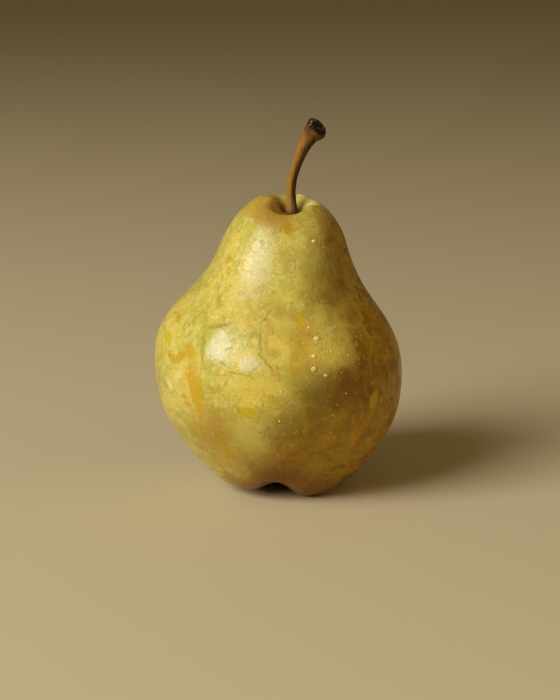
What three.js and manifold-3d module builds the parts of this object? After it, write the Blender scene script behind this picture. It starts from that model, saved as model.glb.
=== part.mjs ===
// A ripe dessert pear standing upright on its five-lobed base: the fruit, its woody stem and the
// dried calyx. Millimetres, +Z up, front towards -Y. The origin is at its foot, under its middle.

import * as THREE from "three";
import { mergeVertices } from "three/addons/utils/BufferGeometryUtils.js";
import Module from "manifold-3d";

// The fruit's half outline, from the calyx up to the stem. Each point has its radius, its height,
// how far the middle of the fruit lies to the right there, and the rings up to the next point.
const OUTLINE = [
  { radius: 2.6, height: 6.9, shift: 1.0, rings: 2 }, // mouth of the calyx socket
  { radius: 5.8, height: 5.6, shift: 1.1, rings: 2 }, // floor of the basin
  { radius: 9.2, height: 2.2, shift: 1.4, rings: 3 }, // wall of the basin
  { radius: 13.6, height: -0.5, shift: 1.5, rings: 3 }, // foot that it stands on
  { radius: 20.8, height: 2.1, shift: 1.9, rings: 4 }, // turn of the base
  { radius: 26.8, height: 9.0, shift: 1.4, rings: 3 }, // underside of the belly
  { radius: 33.0, height: 17.2, shift: 1.2, rings: 3 },
  { radius: 37.4, height: 26.2, shift: 0.5, rings: 4 },
  { radius: 38.9, height: 37.2, shift: 0.0, rings: 4 }, // widest place
  { radius: 37.4, height: 48.0, shift: -0.6, rings: 3 },
  { radius: 32.3, height: 57.2, shift: -0.9, rings: 3 }, // shoulder of the belly
  { radius: 26.2, height: 64.8, shift: -0.1, rings: 3 }, // waist
  { radius: 22.1, height: 72.0, shift: 0.8, rings: 3 },
  { radius: 19.5, height: 78.6, shift: 1.3, rings: 3 }, // neck
  { radius: 16.3, height: 84.6, shift: 1.7, rings: 3 },
  { radius: 12.3, height: 89.3, shift: 1.8, rings: 3 }, // crown
  { radius: 8.3, height: 91.9, shift: 2.5, rings: 2 }, // rim of the stem cavity
  { radius: 5.6, height: 91.6, shift: 3.4, rings: 2 },
  { radius: 3.9, height: 89.8, shift: 3.8, rings: 2 }, // wall of the cavity
  { radius: 2.3, height: 86.2, shift: 3.8, rings: 0 }, // mouth of the stem socket
];
const SPOKES = 60; // vertices in each ring of the fruit
const SOCKET_DEPTH = 2.4; // how deep the stem and the calyx are rooted in the flesh
const FRONT_TO_BACK = 0.985; // the fruit is a little narrower from front to back

// Five furrows run up from the calyx between the lobes, and show again round the stem.
const LOBES = 5;
const FURROW_TURN = -8; // degrees, the front furrow's place, counted from the front towards the right
const BASE_FURROW = { from: 12, to: 21, below: 12, reach: 9.0 }; // radius from and to, on the underside
const BASE_DEPTHS = [4.2, 2.0, 1.5, 1.8, 2.4]; // lift of each furrow at the foot, from the front one on
const NECK_FURROW = { above: 66, below: 84, reach: 10 };
const NECK_DEPTHS = [0.5, 1.1, 0.7, 0.6, 0.9];

// Soft swells and dents in the skin: a place on it, how far the push reaches, and the push.
const PUSHES = [
  { at: [0.5, -6.7, 91.8], reach: 7.4, by: [0, 0.5, -6.2] }, // dip in front of the stem
  { at: [-3.8, 1.2, 92.0], reach: 9.0, by: [-0.2, 0, 1.0] }, // high left shoulder
  { at: [-5.0, -3.2, 91.4], reach: 4.2, by: [-0.3, 0.2, 0.8] }, // full lip on the left of the stem
  { at: [-2.4, -2.8, 89.6], reach: 3.4, by: [-0.8, -0.5, -0.3] }, // the hollow widens on the left
  { at: [6.0, -0.8, 91.7], reach: 7.5, by: [0, 0, -2.6] }, // low rim on the right of the stem
  { at: [4.0, 6.0, 91.6], reach: 4.5, by: [0.2, 0.4, 0.3] }, // fullness behind it
  { at: [11.0, -11.5, 83.4], reach: 12.0, by: [0.5, -0.8, 0] }, // fullness under the right shoulder
  { at: [-10.5, -11.0, 2.0], reach: 13.0, by: [0, 0, 2.0] }, // the left front lobe stands higher
  { at: [-36.0, -8.0, 50.0], reach: 20.0, by: [-0.7, -0.4, 0.3] }, // full left cheek
  { at: [30.0, -22.0, 24.0], reach: 20.0, by: [0.5, -0.7, -0.2] }, // full right cheek, low down
  { at: [8.0, 36.0, 46.0], reach: 22.0, by: [0.2, 0.9, 0.4] }, // full back
];

// The stem's middle line from its root up, with its radius. It leans right and a little forward.
const STEM_ROUTE = [
  { at: [3.8, 0.0, 84.2], radius: 1.8 }, // root, in the socket
  { at: [3.8, 0.0, 86.2], radius: 1.95 },
  { at: [3.7, 0.0, 88.2], radius: 2.05 }, // foot, where it comes out of the flesh
  { at: [3.65, 0.0, 90.8], radius: 1.66 },
  { at: [3.7, 0.0, 94.4], radius: 1.42 },
  { at: [4.25, -0.1, 98.4], radius: 1.38 },
  { at: [5.6, -0.4, 102.8], radius: 1.42 },
  { at: [7.2, -1.0, 107.2], radius: 1.85 },
  { at: [9.2, -1.9, 110.9], radius: 2.55 },
  { at: [10.6, -2.6, 112.8], radius: 3.25 }, // neck of the knob
  { at: [11.6, -3.3, 114.0], radius: 3.7 }, // rim of the knob
];
const STEM_SIDES = 20;
const STEM_RINGS_A_SPAN = 3;
const STEM_RIBS = 3; // soft ribs along the stem
const STEM_RIB_SHARE = 0.05; // height of a rib, as a share of the radius
const STEM_TWIST = 1.1; // turns of the ribs in radians over the whole stem
const KNOB_SHARE = 0.13; // how uneven the knob's rim is, as a share of its radius
const KNOB_LIP = 0.55; // how far the rim rises and falls along the stem
const SCAR_RINGS = [
  { share: 0.92, rise: 0.4 },
  { share: 0.66, rise: 0.65 },
  { share: 0.34, rise: 0.45 },
]; // the broken end, a low rough cap: rings inside the rim and how far they stand out of it
const SCAR_MIDDLE = 0.3;

// The dried calyx: a small cushion with five curled sepals round a tuft of withered stamens.
const CALYX_SHIFT = 1.0; // to the right, as the basin
const CALYX_OUTLINE = [
  [0, 8.9],
  [2.1, 8.9],
  [2.3, 6.9],
  [2.5, 6.3],
  [2.0, 5.4],
  [0, 5.2],
]; // radius and height, the first ones in the socket
const CALYX_SIDES = 20;
const SEPAL_ROUTE = [
  { out: 1.3, height: 5.9, half: 1.3 },
  { out: 2.7, height: 5.1, half: 1.45 },
  { out: 3.9, height: 4.3, half: 1.15 },
  { out: 4.9, height: 3.2, half: 0.75 },
  { out: 5.3, height: 2.1, half: 0.2 },
]; // how far out, how high, and half the sepal's width there
const SEPAL_THICK = 0.7;
const SEPAL_CUP = 0.35; // how far its edges turn down, as a share of its half width
const SEPAL_ANGLES = [8, 76, 153, 221, 296]; // degrees from the front, not quite even
const STAMENS = 9;
const STAMEN_LENGTH = 2.1;
const STAMEN_RADIUS = 0.34;
const SEED = 20;

const COLOURS = {
  fruit: { color: 0xcdb95a, roughness: 0.42, metalness: 0 },
  stem: { color: 0x6e4a1e, roughness: 0.75, metalness: 0 },
  calyx: { color: 0x3a2a18, roughness: 0.85, metalness: 0 },
};

// Catmull-Rom: the value at share t of the span from b to c.
function between(a, b, c, d, t) {
  return (
    0.5 *
    (2 * b + (c - a) * t + (2 * a - 5 * b + 4 * c - d) * t * t + (3 * b - a - 3 * c + d) * t * t * t)
  );
}

// One ring for every step along a list of points, with the named values of each smoothly between them.
function stations(points, names, steps) {
  const found = [];
  const pick = (i) => points[Math.min(Math.max(i, 0), points.length - 1)];
  for (let i = 0; i < points.length - 1; i += 1) {
    const count = steps ?? points[i].rings;
    const near = [-1, 0, 1, 2].map((k) => pick(i + k));
    for (let s = 0; s < count; s += 1) {
      found.push(Object.fromEntries(names.map((n) => [n, between(...near.map((p) => p[n]), s / count)])));
    }
  }
  const last = points.at(-1);
  found.push(Object.fromEntries(names.map((n) => [n, last[n]])));
  return found;
}

// Moves every vertex near the picked ones, fully at them and smoothly less out to the reach.
function softPush(vertices, picked, reach, by) {
  const centres = picked.map((v) => v.clone());
  const push = new THREE.Vector3(...by);
  for (const v of vertices) {
    const distance = Math.min(...centres.map((c) => c.distanceTo(v)));
    if (distance >= reach) continue;
    const near = 1 - distance / reach;
    v.addScaledVector(push, near * near * (3 - 2 * near));
  }
}

// The direction at an angle from the front, turning towards the right.
function heading(degrees) {
  const angle = THREE.MathUtils.degToRad(degrees);
  return new THREE.Vector3(Math.sin(angle), -Math.cos(angle), 0);
}

// How far a vertex is off the plane of an angle, in degrees.
function offAngle(vertex, degrees) {
  const own = THREE.MathUtils.radToDeg(Math.atan2(vertex.x, -vertex.y));
  return Math.abs(THREE.MathUtils.euclideanModulo(own - degrees + 180, 360) - 180);
}

// A closed mesh through equal rings of vertices, with a vertex in the middle of each end.
function skinned(rings, firstMiddle, lastMiddle) {
  const sides = rings[0].length;
  const positions = [...rings.flat(), firstMiddle, lastMiddle].flatMap((v) => [v.x, v.y, v.z]);
  const first = rings.length * sides;
  const faces = [];
  for (let k = 0; k < sides; k += 1) {
    const next = (k + 1) % sides;
    for (let i = 0; i < rings.length - 1; i += 1) {
      const low = i * sides;
      const high = low + sides;
      faces.push(low + k, low + next, high + next, low + k, high + next, high + k);
    }
    const top = (rings.length - 1) * sides;
    faces.push(first, next, k, first + 1, top + k, top + next);
  }
  const geometry = new THREE.BufferGeometry();
  geometry.setAttribute("position", new THREE.Float32BufferAttribute(positions, 3));
  geometry.setIndex(faces);
  return geometry;
}

function middleOf(ring) {
  const sum = ring.reduce((total, v) => total.add(v), new THREE.Vector3());
  return sum.divideScalar(ring.length);
}

function mesh(name, geometry, look) {
  const made = new THREE.Mesh(geometry, new THREE.MeshStandardMaterial(look));
  made.name = name;
  made.geometry.computeVertexNormals();
  return made;
}

// The furrows on the underside and round the neck, pressed in before the fruit leans.
function pressFurrows(vertices) {
  const halfSpoke = 180 / SPOKES;
  for (let i = 0; i < LOBES; i += 1) {
    const angle = FURROW_TURN + (i * 360) / LOBES;
    const inward = heading(angle).negate();
    const onLine = vertices.filter((v) => offAngle(v, angle) < halfSpoke);
    const low = onLine.filter((v) => {
      const radius = Math.hypot(v.x, v.y);
      return v.z < BASE_FURROW.below && radius > BASE_FURROW.from && radius < BASE_FURROW.to;
    });
    const high = onLine.filter((v) => v.z > NECK_FURROW.above && v.z < NECK_FURROW.below);
    const lift = BASE_DEPTHS[i];
    softPush(vertices, low, BASE_FURROW.reach, [inward.x * lift * 0.4, inward.y * lift * 0.4, lift]);
    softPush(vertices, high, NECK_FURROW.reach, inward.multiplyScalar(NECK_DEPTHS[i]).toArray());
  }
}

function makeFruit() {
  const rings = stations(OUTLINE, ["radius", "height", "shift"]);
  const turn = 360 / SPOKES;
  const skin = rings.map((ring) =>
    Array.from({ length: SPOKES }, (_, k) =>
      heading(FURROW_TURN + k * turn).multiplyScalar(ring.radius).setZ(ring.height),
    ),
  );
  const vertices = skin.flat();
  pressFurrows(vertices);
  for (const { at, reach, by } of PUSHES) {
    const place = new THREE.Vector3(...at);
    const nearest = vertices.reduce((a, b) => (a.distanceTo(place) <= b.distanceTo(place) ? a : b));
    softPush(vertices, [nearest], reach, by);
  }
  skin.forEach((ring, i) => {
    for (const v of ring) {
      v.x += rings[i].shift;
      v.y *= FRONT_TO_BACK;
      v.z = Math.max(v.z, 0); // it stands on small flat spots
    }
  });
  const roots = (ring, depth) => ring.map((v) => v.clone().setZ(middleOf(ring).z + depth));
  const calyxSocket = roots(skin[0], SOCKET_DEPTH);
  const stemSocket = roots(skin.at(-1), -SOCKET_DEPTH);
  const all = [calyxSocket, ...skin, stemSocket];
  return mesh("fruit", skinned(all, middleOf(calyxSocket), middleOf(stemSocket)), COLOURS.fruit);
}

// Unevenness of the knob round its rim, from -1 to 1.
function ragged(angle) {
  const broad = 0.5 * Math.sin(2 * angle + 0.6);
  return broad + 0.3 * Math.sin(5 * angle + 2.1) + 0.2 * Math.sin(9 * angle + 4.0);
}

function makeStem() {
  const spans = STEM_ROUTE.map(({ at, radius }) => ({ x: at[0], y: at[1], z: at[2], radius }));
  const route = stations(spans, ["x", "y", "z", "radius"], STEM_RINGS_A_SPAN);
  const points = route.map((p) => new THREE.Vector3(p.x, p.y, p.z));
  const start = points.length - 1 - 2 * STEM_RINGS_A_SPAN; // the knob's unevenness starts here
  const ringAt = (i, share, rise) => {
    const ahead = points[Math.min(i + 1, points.length - 1)].clone();
    const along = ahead.sub(points[Math.max(i - 1, 0)]).normalize();
    const right = new THREE.Vector3(1, 0, 0).addScaledVector(along, -along.x).normalize();
    const back = new THREE.Vector3().crossVectors(along, right);
    const knob = Math.max(0, (i - start) / (points.length - 1 - start));
    return Array.from({ length: STEM_SIDES }, (_, k) => {
      const angle = (2 * Math.PI * k) / STEM_SIDES;
      const rib = Math.cos(STEM_RIBS * (angle + (STEM_TWIST * i) / points.length));
      const size = 1 + STEM_RIB_SHARE * rib + KNOB_SHARE * knob * knob * ragged(angle);
      const out = right.clone().multiplyScalar(Math.cos(angle)).addScaledVector(back, Math.sin(angle));
      const lip = KNOB_LIP * knob * knob * ragged(angle + 2) + rise;
      const reach = route[i].radius * size * share;
      return points[i].clone().addScaledVector(out, reach).addScaledVector(along, lip);
    });
  };
  const rings = points.map((_, i) => ringAt(i, 1, 0));
  const tip = points.length - 1;
  const scar = SCAR_RINGS.map(({ share, rise }) => ringAt(tip, share, rise));
  const middle = middleOf(ringAt(tip, 0.1, SCAR_MIDDLE));
  return mesh("stem", skinned([...rings, ...scar], points[0], middle), COLOURS.stem);
}

// One sepal as a cupped blade, out along the front, to be turned to its place.
function sepal(route) {
  const half = SEPAL_THICK / 2;
  const rings = route.map(({ out, height, half: width }) => {
    const droop = SEPAL_CUP * width;
    const section = [
      [-width, -droop - half],
      [0, -half],
      [width, -droop - half],
      [width, -droop + half],
      [0, half],
      [-width, -droop + half],
    ];
    return section.map(([side, up]) => new THREE.Vector3(side, -out, height + up));
  });
  return skinned(rings, middleOf(rings[0]), middleOf(rings.at(-1)));
}

function makeCalyx(wasm) {
  const solid = (geometry) => {
    const bare = geometry.clone();
    bare.deleteAttribute("normal");
    bare.deleteAttribute("uv");
    const merged = mergeVertices(bare, 1e-4);
    return new wasm.Manifold(
      new wasm.Mesh({
        numProp: 3,
        vertProperties: merged.attributes.position.array,
        triVerts: new Uint32Array(merged.index.array),
      }),
    );
  };
  const outline = CALYX_OUTLINE.map(([radius, height]) => new THREE.Vector2(radius, height)).reverse();
  let whole = solid(new THREE.LatheGeometry(outline, CALYX_SIDES).rotateX(Math.PI / 2));
  const route = stations(SEPAL_ROUTE, ["out", "height", "half"], 2);
  for (const angle of SEPAL_ANGLES) {
    const blade = sepal(route).rotateZ(THREE.MathUtils.degToRad(angle));
    whole = whole.add(solid(blade));
  }
  let seed = SEED;
  const random = () => {
    seed = (seed * 16807) % 2147483647;
    return seed / 2147483647;
  };
  for (let i = 0; i < STAMENS; i += 1) {
    const place = heading((i * 360) / STAMENS + 20 * random()).multiplyScalar(0.5 + 0.8 * random());
    const hair = new THREE.ConeGeometry(STAMEN_RADIUS, STAMEN_LENGTH * (0.8 + 0.4 * random()), 5);
    hair.rotateX(-Math.PI / 2).translate(place.x, place.y, 4.9);
    whole = whole.add(solid(hair));
  }
  const made = whole.getMesh();
  const geometry = new THREE.BufferGeometry();
  geometry.setAttribute("position", new THREE.BufferAttribute(made.vertProperties, 3));
  geometry.setIndex(new THREE.BufferAttribute(made.triVerts, 1));
  const calyx = mesh("calyx", geometry, COLOURS.calyx);
  calyx.position.x = CALYX_SHIFT;
  return calyx;
}

const wasm = await Module();
wasm.setup();

const pear = new THREE.Group();
pear.name = "pear";
pear.add(makeFruit(), makeStem(), makeCalyx(wasm));

export default pear;
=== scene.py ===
# %% [markdown]
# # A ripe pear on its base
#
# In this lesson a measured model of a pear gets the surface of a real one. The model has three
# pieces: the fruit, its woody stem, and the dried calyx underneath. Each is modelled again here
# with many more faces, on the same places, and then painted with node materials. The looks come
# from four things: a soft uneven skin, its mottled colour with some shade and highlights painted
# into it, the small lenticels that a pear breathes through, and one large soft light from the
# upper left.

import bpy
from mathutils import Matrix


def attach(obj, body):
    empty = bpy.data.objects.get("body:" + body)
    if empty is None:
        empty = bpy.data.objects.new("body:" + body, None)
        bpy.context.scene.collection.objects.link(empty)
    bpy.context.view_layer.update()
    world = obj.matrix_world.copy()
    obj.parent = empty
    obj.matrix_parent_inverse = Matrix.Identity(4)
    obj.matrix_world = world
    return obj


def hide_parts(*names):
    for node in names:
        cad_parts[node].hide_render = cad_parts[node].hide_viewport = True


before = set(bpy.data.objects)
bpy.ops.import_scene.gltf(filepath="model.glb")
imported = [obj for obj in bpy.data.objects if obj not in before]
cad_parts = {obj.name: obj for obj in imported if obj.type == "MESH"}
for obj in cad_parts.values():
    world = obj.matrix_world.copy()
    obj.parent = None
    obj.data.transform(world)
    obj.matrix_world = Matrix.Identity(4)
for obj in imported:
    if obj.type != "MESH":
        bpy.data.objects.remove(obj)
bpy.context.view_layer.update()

# %% [markdown]
# ## Working in millimetres
#
# Blender counts in metres and a pear is easier in millimetres, so lengths below are written in
# millimetres and multiplied by `MM`. The model's parts are still selected after loading, and an
# operator works on everything that is selected, so each piece starts with a clean selection.

# %% Lengths, colours and a clean selection
import math
import random

import bmesh
import bpy
from mathutils import Vector

MM = 0.001


def deselect_all():
    if bpy.context.mode != "OBJECT":
        bpy.ops.object.mode_set(mode="OBJECT")
    bpy.ops.object.select_all(action="DESELECT")


def edit(piece):
    """Opens one piece in edit mode, with its points to pick from."""
    deselect_all()
    piece.select_set(True)
    bpy.context.view_layer.objects.active = piece
    bpy.ops.object.mode_set(mode="EDIT")
    bpy.ops.mesh.select_mode(type="VERT")


def name_it(name):
    """Names the new piece, and settles its place and turn into its mesh."""
    piece = bpy.context.object
    piece.name = piece.data.name = name
    bpy.ops.object.transform_apply(location=True, rotation=True, scale=True)
    return piece


def pick(piece, wanted):
    """Selects the points whose place in millimetres, or number, is wanted. Counts them."""
    mesh = bmesh.from_edit_mesh(piece.data)
    bpy.ops.mesh.select_all(action="DESELECT")
    for point in mesh.verts:
        point.select_set(bool(wanted(point.co / MM, point.index)))
    mesh.select_flush_mode()
    bmesh.update_edit_mesh(piece.data, loop_triangles=False, destructive=False)
    return sum(point.select for point in mesh.verts)


def colour(red, green, blue):
    """A colour as a paint program shows it, 0 to 255, turned into the light that Blender mixes."""
    shares = [value / 255 for value in (red, green, blue)]
    return (*[s / 12.92 if s <= 0.04045 else ((s + 0.055) / 1.055) ** 2.4 for s in shares], 1)


print("middle grey mixes as:", round(colour(128, 128, 128)[0], 3))

# %% [markdown]
# ## The camera
#
# The picture was made from a little above the pear, so one looks into the hollow round the stem.
# A long lens from 60 cm keeps the pear's proportions. The focal length follows from how large
# the pear is in the picture: 3.167 pixels for a millimetre, in a frame 700 pixels high.

# %% Camera at the picture's viewing angle
AIM = Vector((0.25, 0, 43.5)) * MM
CAMERA_HEIGHT = math.radians(13)
CAMERA_DISTANCE = 600
PIXELS_PER_MM = 3.167
FRAME_HEIGHT = 700
SENSOR = 36


def towards(direction, camera_or_light):
    """Turns a camera or light so that it looks back along a direction."""
    camera_or_light.rotation_euler = direction.to_track_quat("Z", "Y").to_euler()


deselect_all()
view_from = Vector((0, -math.cos(CAMERA_HEIGHT), math.sin(CAMERA_HEIGHT)))
bpy.ops.object.camera_add(location=AIM + view_from * CAMERA_DISTANCE * MM)
camera = bpy.context.object
towards(view_from, camera)
camera.data.sensor_width = SENSOR
camera.data.lens = PIXELS_PER_MM * CAMERA_DISTANCE / FRAME_HEIGHT * SENSOR
camera.data.clip_start = 0.05
bpy.context.scene.camera = camera
print("lens, mm:", round(camera.data.lens, 1))

# %% [markdown]
# ## Floor and light
#
# The floor is plain and pale and fills the frame. One large square light stands to the upper
# left in front, like a window: it gives the pear a soft-edged highlight on the belly and a long
# one up the neck, and lets the right side fall into shade. The dim world only keeps that shade
# from going black.

# %% A pale floor that fills the view
bpy.ops.mesh.primitive_plane_add(size=12, location=(0, 3, 0))
floor = name_it("floor")
floor_finish = bpy.data.materials.new("pale floor")
floor_finish.use_nodes = True
floor_shader = floor_finish.node_tree.nodes["Principled BSDF"]
floor_shader.inputs["Base Color"].default_value = colour(205, 191, 158)
floor_shader.inputs["Roughness"].default_value = 0.85
floor.data.materials.append(floor_finish)
print("floor, m:", round(floor.dimensions.x))

# %% One window-like light, a faint one opposite and a dim world
LIGHTS = [
    # name, direction from the pear, distance and size in mm, power in W, colour
    ("window", (-0.672, -0.534, 0.511), 1600, 950, 29.5, colour(255, 250, 240)),
    ("bounce", (0.80, -0.35, 0.45), 900, 700, 1.0, colour(255, 220, 150)),
]
for name, direction, distance, size, power, tone in LIGHTS:
    bpy.ops.object.light_add(type="AREA", location=AIM + Vector(direction).normalized() * distance * MM)
    light = bpy.context.object
    light.name = name
    light.data.shape = "SQUARE"
    light.data.size = size * MM
    light.data.energy = power
    light.data.color = tone[:3]
    towards(Vector(direction), light)

world = bpy.data.worlds.new("studio")
world.use_nodes = True
world.node_tree.nodes["Background"].inputs["Color"].default_value = colour(240, 212, 146)
world.node_tree.nodes["Background"].inputs["Strength"].default_value = 0.14
bpy.context.scene.world = world
bpy.context.scene.view_settings.view_transform = "Standard"
print("lights:", [name for name, *_ in LIGHTS])

# %% [markdown]
# ## The fruit's outline
#
# A pear is nearly a turned shape, so its half outline comes first: from the basin round the
# calyx, over the foot, out to the belly, in at the waist and up into the hollow of the stem.
# A smooth curve through these few points gives a ring every few millimetres. Each ring also has
# a lean to the right, because the pear isn't quite straight. One could spin a finished profile,
# but rings that are extruded one from another stay easy to push about.

# %% Rings along the half outline
OUTLINE = [
    # radius, height, lean to the right, rings up to the next point, in mm
    (2.6, 6.9, 1.0, 2),  # mouth of the calyx socket
    (5.8, 5.6, 1.1, 2),
    (9.2, 2.2, 1.4, 3),
    (13.6, -0.5, 1.5, 3),  # foot
    (20.8, 2.1, 1.9, 4),
    (26.8, 9.0, 1.4, 3),
    (33.0, 17.2, 1.2, 3),
    (37.4, 26.2, 0.5, 4),
    (38.9, 37.2, 0.0, 4),  # widest place
    (37.4, 48.0, -0.6, 3),
    (32.3, 57.2, -0.9, 3),
    (26.2, 64.8, -0.1, 3),  # waist
    (22.1, 72.0, 0.8, 3),
    (19.5, 78.6, 1.3, 3),
    (16.3, 84.6, 1.7, 3),
    (12.3, 89.3, 1.8, 3),  # crown
    (8.3, 91.9, 2.5, 2),
    (5.6, 91.6, 3.4, 2),
    (3.9, 89.8, 3.8, 2),  # wall of the stem's hollow
    (2.3, 86.2, 3.8, 0),
]


def between(a, b, c, d, t):
    """The value at share t of the way from b to c, on a smooth curve through all four."""
    straight = 2 * b + (c - a) * t
    return 0.5 * (straight + (2 * a - 5 * b + 4 * c - d) * t**2 + (3 * b - a - 3 * c + d) * t**3)


def stations(points, counts):
    """Points along a smooth curve through the given ones, so many to each span."""
    found = []
    for i, count in enumerate(counts):
        near = [points[min(max(k, 0), len(points) - 1)] for k in range(i - 1, i + 3)]
        found += [[between(*column, step / count) for column in zip(*near)] for step in range(count)]
    return found + [list(points[-1])]


rings = stations([point[:3] for point in OUTLINE], [point[3] for point in OUTLINE[:-1]])
print("rings:", len(rings))

# %% [markdown]
# ## The fruit's cage
#
# The lowest ring is a circle of 60 points, turned so that one of them lies on the front furrow.
# It is extruded from ring to ring and scaled to each radius, as one raises a pot on a wheel. The
# stem and the calyx's cushion are raised in the same way later.

# %% Extrude the rings
SPOKES = 60
FURROW_TURN = -8  # degrees from the front towards the right


def raise_rings(piece, radii_and_heights, x=0.0):
    """Extrudes a piece's one ring from each radius and height to the next, round an upright at x."""
    edit(piece)
    bpy.ops.mesh.select_all(action="SELECT")
    for (radius, height), (next_radius, next_height) in zip(radii_and_heights, radii_and_heights[1:]):
        rise = (0, 0, (next_height - height) * MM)
        bpy.ops.mesh.extrude_region_move(TRANSFORM_OT_translate={"value": rise})
        grow = next_radius / radius
        bpy.ops.transform.resize(value=(grow, grow, 1), center_override=(x * MM, 0, next_height * MM))


deselect_all()
radius, height, _ = rings[0]
bpy.ops.mesh.primitive_circle_add(
    vertices=SPOKES,
    radius=radius * MM,
    location=(0, 0, height * MM),
    rotation=(0, 0, math.radians(FURROW_TURN)),
)
skin = name_it("skin")
raise_rings(skin, [ring[:2] for ring in rings])
print("points in the cage:", len(bmesh.from_edit_mesh(skin.data).verts))

# %% [markdown]
# ## Lobes, furrows and soft pushes
#
# Five furrows run between the lobes of the base and show again faintly round the neck. They are
# pushed in with proportional editing, which moves the picked points fully and their neighbours
# less and less out to a reach. The same tool gives the pear its own face: the dip in front of
# the stem, the high left shoulder, the low rim on the right, the full cheeks. Doing this on the
# cage, before it is subdivided, keeps the pushes smooth.

# %% Press the furrows in
BASE_DEPTHS = [4.2, 2.0, 1.5, 1.8, 2.4]  # from the front furrow on
NECK_DEPTHS = [0.5, 1.1, 0.7, 0.6, 0.9]
BASE_REACH = 9.0
NECK_REACH = 10.0
ON_FURROW = 3  # degrees off its middle


def soft_push(reach, by):
    bpy.ops.transform.translate(
        value=Vector(by) * MM,
        use_proportional_edit=True,
        proportional_edit_falloff="SMOOTH",
        proportional_size=reach * MM,
    )


def off_angle(place, degrees):
    """How many degrees a place is off a heading that counts from the front towards the right."""
    own = math.degrees(math.atan2(place.x, -place.y))
    return abs((own - degrees + 180) % 360 - 180)


for furrow, (base_depth, neck_depth) in enumerate(zip(BASE_DEPTHS, NECK_DEPTHS)):
    angle = FURROW_TURN + 72 * furrow
    inward = Vector((-math.sin(math.radians(angle)), math.cos(math.radians(angle)), 0))
    pick(skin, lambda p, _: off_angle(p, angle) < ON_FURROW and p.z < 12 and 12 < p.xy.length < 21)
    soft_push(BASE_REACH, inward * base_depth * 0.4 + Vector((0, 0, base_depth)))
    pick(skin, lambda p, _: off_angle(p, angle) < ON_FURROW and 66 < p.z < 84)
    soft_push(NECK_REACH, inward * neck_depth)
print("furrows:", len(BASE_DEPTHS))

# %% Push the skin to this pear's own shape
PUSHES = [
    # place, reach and push, in mm
    ((0.5, -6.7, 91.8), 7.4, (0, 0.5, -6.2)),  # dip in front of the stem
    ((-3.8, 1.2, 92.0), 9.0, (-0.2, 0, 1.0)),  # high left shoulder
    ((-5.0, -3.2, 91.4), 4.2, (-0.3, 0.2, 0.8)),  # full lip on the left of the stem
    ((-2.4, -2.8, 89.6), 3.4, (-0.8, -0.5, -0.3)),  # the hollow widens on the left
    ((6.0, -0.8, 91.7), 7.5, (0, 0, -2.6)),  # low rim on the right of the stem
    ((4.0, 6.0, 91.6), 4.5, (0.2, 0.4, 0.3)),  # fullness behind it
    ((11.0, -11.5, 83.4), 12.0, (0.5, -0.8, 0)),  # fullness under the right shoulder
    ((-10.5, -11.0, 2.0), 13.0, (0, 0, 2.0)),  # the left front lobe stands higher
    ((-36.0, -8.0, 50.0), 20.0, (-0.7, -0.4, 0.3)),  # full left cheek
    ((30.0, -22.0, 24.0), 20.0, (0.5, -0.7, -0.2)),  # full right cheek, low down
    ((8.0, 36.0, 46.0), 22.0, (0.2, 0.9, 0.4)),  # full back
]
for place, reach, by in PUSHES:
    points = bmesh.from_edit_mesh(skin.data).verts
    nearest = min(points, key=lambda point: (point.co / MM - Vector(place)).length).index
    pick(skin, lambda _, number: number == nearest)
    soft_push(reach, by)
print("soft pushes:", len(PUSHES))

# %% Lean the rings, narrow the fruit from front to back and set it on its feet
DEPTH_TO_WIDTH = 0.985

for number, (_, _, lean) in enumerate(rings):
    pick(skin, lambda _, point: point // SPOKES == number)
    bpy.ops.transform.translate(value=(lean * MM, 0, 0))
bpy.ops.mesh.select_all(action="SELECT")
bpy.ops.transform.resize(value=(1, DEPTH_TO_WIDTH, 1), center_override=(0, 0, 0))


def set_down(piece):
    """Presses what is below the floor flat on it."""
    flat = pick(piece, lambda place, _: place.z < 0)
    if flat:
        bpy.ops.transform.resize(value=(1, 1, 0), center_override=(0, 0, 0))
    return flat


print("points on the floor:", set_down(skin))

# %% [markdown]
# ## Close the sockets and make the skin fine
#
# The calyx and the stem are rooted in the flesh, so the two open ends are drawn in as sockets
# and closed. Two levels of subdivision then turn the cage into a fine skin. Real skin is never
# as even as a turned shape: two Displace modifiers with cloud textures swell and dent it by a
# few tenths of a millimetre, which one sees mostly in how the highlight wavers.

# %% Sockets
SOCKET_DEPTH = 2.4
for number, deeper in ((0, SOCKET_DEPTH), (len(rings) - 1, -SOCKET_DEPTH)):
    pick(skin, lambda _, point: number * SPOKES <= point < (number + 1) * SPOKES)
    mouth = [v.co.copy() for v in bmesh.from_edit_mesh(skin.data).verts if v.select]
    middle = sum(mouth, Vector()) / len(mouth)
    bpy.ops.mesh.extrude_region_move(TRANSFORM_OT_translate={"value": (0, 0, deeper * MM)})
    end = middle + Vector((0, 0, deeper * MM))
    bpy.ops.transform.resize(value=(0.9, 0.9, 0), center_override=end)
    bpy.ops.mesh.edge_face_add()
bpy.ops.mesh.select_all(action="SELECT")
bpy.ops.mesh.normals_make_consistent(inside=False)
print("open edges left:", sum(edge.is_boundary for edge in bmesh.from_edit_mesh(skin.data).edges))

# %% Subdivide, then swell and dent
UNEVEN = [
    # name, size of the clouds and height of the relief, in mm
    ("swells", 22.0, 0.75),
    ("dents", 6.5, 0.22),
]


def apply_modifiers(piece):
    deselect_all()
    piece.select_set(True)
    bpy.context.view_layer.objects.active = piece
    for modifier in list(piece.modifiers):
        bpy.ops.object.modifier_apply(modifier=modifier.name)


def subdivide(piece, levels):
    smooth = piece.modifiers.new("smooth", "SUBSURF")
    smooth.levels = smooth.render_levels = levels


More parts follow.
